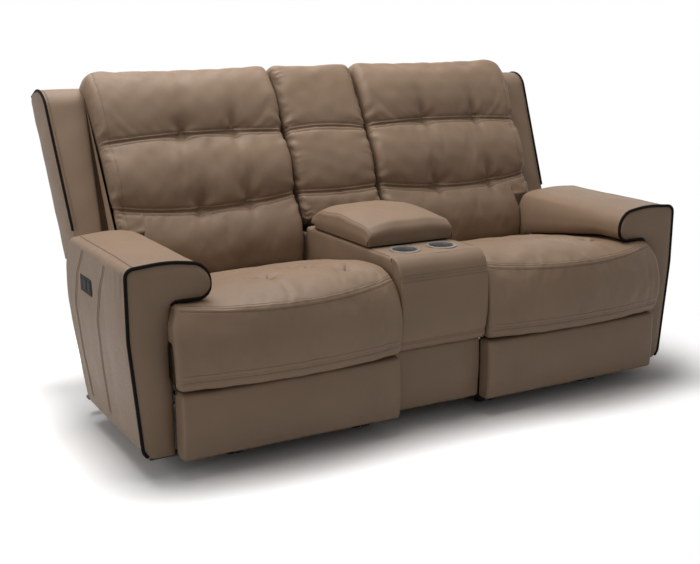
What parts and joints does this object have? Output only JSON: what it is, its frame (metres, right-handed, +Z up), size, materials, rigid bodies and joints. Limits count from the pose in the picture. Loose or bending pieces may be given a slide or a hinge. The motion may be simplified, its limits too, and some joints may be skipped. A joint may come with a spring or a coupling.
{
  "type": "power reclining loveseat",
  "caption": "Leather-covered power reclining loveseat with bow-front seats, channelled backs, swing-out footrests, pillow-top arms and a console with cup holders and a padded lid.",
  "frame": {"origin": "on the floor, under the middle of the loveseat's bounding box", "axes": "+X to the right as seen from the front, +Y from front to back, +Z up"},
  "size_m": [1.96, 1.088, 1.0685],
  "materials": {
    "leather": "satin",
    "piping": "satin",
    "frame_wood": "matte",
    "dust_cloth": "matte",
    "mechanism_paint": "satin",
    "bright_steel": "satin",
    "motor_plastic": "matte",
    "switch_plastic": "satin",
    "rocker_plastic": "satin",
    "foot_plastic": "matte",
    "bin_plastic": "matte",
    "cup_steel": "satin"
  },
  "bodies": {
    "base": {"base_frame": "mechanism_paint", "feet": "foot_plastic", "rear_panel": "dust_cloth", "console_frame": "frame_wood", "storage_bin": "bin_plastic", "cup_holders": "cup_steel", "console_cover": "leather", "console_front_pad": "leather", "console_lower_pad": "leather", "console_hinge": "mechanism_paint", "middle_back_frame": "frame_wood", "middle_back_upholstery": "leather", "recline_actuators": "motor_plastic", "left_arm_frame": "frame_wood", "left_arm_cover": "leather", "left_arm_piping": "piping", "left_switch_plate": "switch_plastic", "right_arm_frame": "frame_wood", "right_arm_cover": "leather", "right_arm_piping": "piping", "right_switch_plate": "switch_plastic"},
    "lid": {"lid_board": "frame_wood", "lid_pad": "leather", "lid_leaf": "mechanism_paint"},
    "left_seat": {"left_seat_frame": "frame_wood", "left_seat_springs": "bright_steel", "left_seat_cushion": "leather", "left_seat_side_plates": "mechanism_paint", "left_drive_rod": "bright_steel", "left_footrest_motor": "motor_plastic"},
    "left_back": {"left_back_frame": "frame_wood", "left_back_brackets": "mechanism_paint", "left_back_cushion": "leather", "left_back_skin": "leather", "left_wing_pad": "leather", "left_wing_piping": "piping"},
    "left_rear_links": {"left_footrest_rear_links": "mechanism_paint"},
    "left_front_links": {"left_footrest_front_links": "mechanism_paint"},
    "left_footrest": {"left_footrest_pan": "mechanism_paint", "left_footrest_cushion": "leather"},
    "left_recline_rocker": {"left_recline_rocker": "rocker_plastic"},
    "left_footrest_rocker": {"left_footrest_rocker": "rocker_plastic"},
    "right_seat": {"right_seat_frame": "frame_wood", "right_seat_springs": "bright_steel", "right_seat_cushion": "leather", "right_seat_side_plates": "mechanism_paint", "right_drive_rod": "bright_steel", "right_footrest_motor": "motor_plastic"},
    "right_back": {"right_back_frame": "frame_wood", "right_back_brackets": "mechanism_paint", "right_back_cushion": "leather", "right_back_skin": "leather", "right_wing_pad": "leather", "right_wing_piping": "piping"},
    "right_rear_links": {"right_footrest_rear_links": "mechanism_paint"},
    "right_front_links": {"right_footrest_front_links": "mechanism_paint"},
    "right_footrest": {"right_footrest_pan": "mechanism_paint", "right_footrest_cushion": "leather"},
    "right_recline_rocker": {"right_recline_rocker": "rocker_plastic"},
    "right_footrest_rocker": {"right_footrest_rocker": "rocker_plastic"}
  },
  "joints": [
    {"name": "lid_hinge", "type": "hinge", "parent": "base", "child": "lid", "pos_m": [0, 0.078, 0.5513], "axis": [-1, 0, 0], "range_deg": [0, 50]},
    {"name": "left_seat_slide", "type": "slide", "parent": "base", "child": "left_seat", "axis": [0, -1, 0], "range_m": [0, 0.07]},
    {"name": "left_recline", "type": "hinge", "parent": "left_seat", "child": "left_back", "pos_m": [-0.4485, 0.2, 0.42], "axis": [-1, 0, 0], "range_deg": [0, 35]},
    {"name": "left_footrest_hip", "type": "hinge", "parent": "left_seat", "child": "left_rear_links", "pos_m": [-0.4485, -0.25, 0.312], "axis": [-1, 0, 0], "range_deg": [0, 100]},
    {"name": "left_footrest_knee", "type": "hinge", "parent": "left_rear_links", "child": "left_front_links", "pos_m": [-0.4485, -0.122, 0.113], "axis": [-1, 0, 0], "range_deg": [-92.2, 0]},
    {"name": "left_footrest_toe", "type": "hinge", "parent": "left_front_links", "child": "left_footrest", "pos_m": [-0.4485, -0.415, 0.13], "axis": [-1, 0, 0], "range_deg": [0, 76.2]},
    {"name": "left_recline_rocker_tip", "type": "hinge", "parent": "base", "child": "left_recline_rocker", "pos_m": [-0.97, -0.068, 0.481], "axis": [0, 0, 1], "range_deg": [-6, 6], "stiffness_Nm_per_rad": 0.3},
    {"name": "left_footrest_rocker_tip", "type": "hinge", "parent": "base", "child": "left_footrest_rocker", "pos_m": [-0.97, -0.105, 0.481], "axis": [0, 0, 1], "range_deg": [-6, 6], "stiffness_Nm_per_rad": 0.3},
    {"name": "right_seat_slide", "type": "slide", "parent": "base", "child": "right_seat", "axis": [0, -1, 0], "range_m": [0, 0.07]},
    {"name": "right_recline", "type": "hinge", "parent": "right_seat", "child": "right_back", "pos_m": [0.4485, 0.2, 0.42], "axis": [-1, 0, 0], "range_deg": [0, 35]},
    {"name": "right_footrest_hip", "type": "hinge", "parent": "right_seat", "child": "right_rear_links", "pos_m": [0.4485, -0.25, 0.312], "axis": [-1, 0, 0], "range_deg": [0, 100]},
    {"name": "right_footrest_knee", "type": "hinge", "parent": "right_rear_links", "child": "right_front_links", "pos_m": [0.4485, -0.122, 0.113], "axis": [-1, 0, 0], "range_deg": [-92.2, 0]},
    {"name": "right_footrest_toe", "type": "hinge", "parent": "right_front_links", "child": "right_footrest", "pos_m": [0.4485, -0.415, 0.13], "axis": [-1, 0, 0], "range_deg": [0, 76.2]},
    {"name": "right_recline_rocker_tip", "type": "hinge", "parent": "base", "child": "right_recline_rocker", "pos_m": [0.97, -0.068, 0.481], "axis": [0, 0, 1], "range_deg": [-6, 6], "stiffness_Nm_per_rad": 0.3},
    {"name": "right_footrest_rocker_tip", "type": "hinge", "parent": "base", "child": "right_footrest_rocker", "pos_m": [0.97, -0.105, 0.481], "axis": [0, 0, 1], "range_deg": [-6, 6], "stiffness_Nm_per_rad": 0.3}
  ],
  "couplings": [
    {"joint": "left_recline", "follows": "left_seat_slide", "rad_per_m": 8.7266},
    {"joint": "left_footrest_knee", "follows": "left_footrest_hip", "ratio": -0.92},
    {"joint": "left_footrest_toe", "follows": "left_footrest_hip", "ratio": 0.76},
    {"joint": "right_recline", "follows": "right_seat_slide", "rad_per_m": 8.7266},
    {"joint": "right_footrest_knee", "follows": "right_footrest_hip", "ratio": -0.92},
    {"joint": "right_footrest_toe", "follows": "right_footrest_hip", "ratio": 0.76}
  ]
}
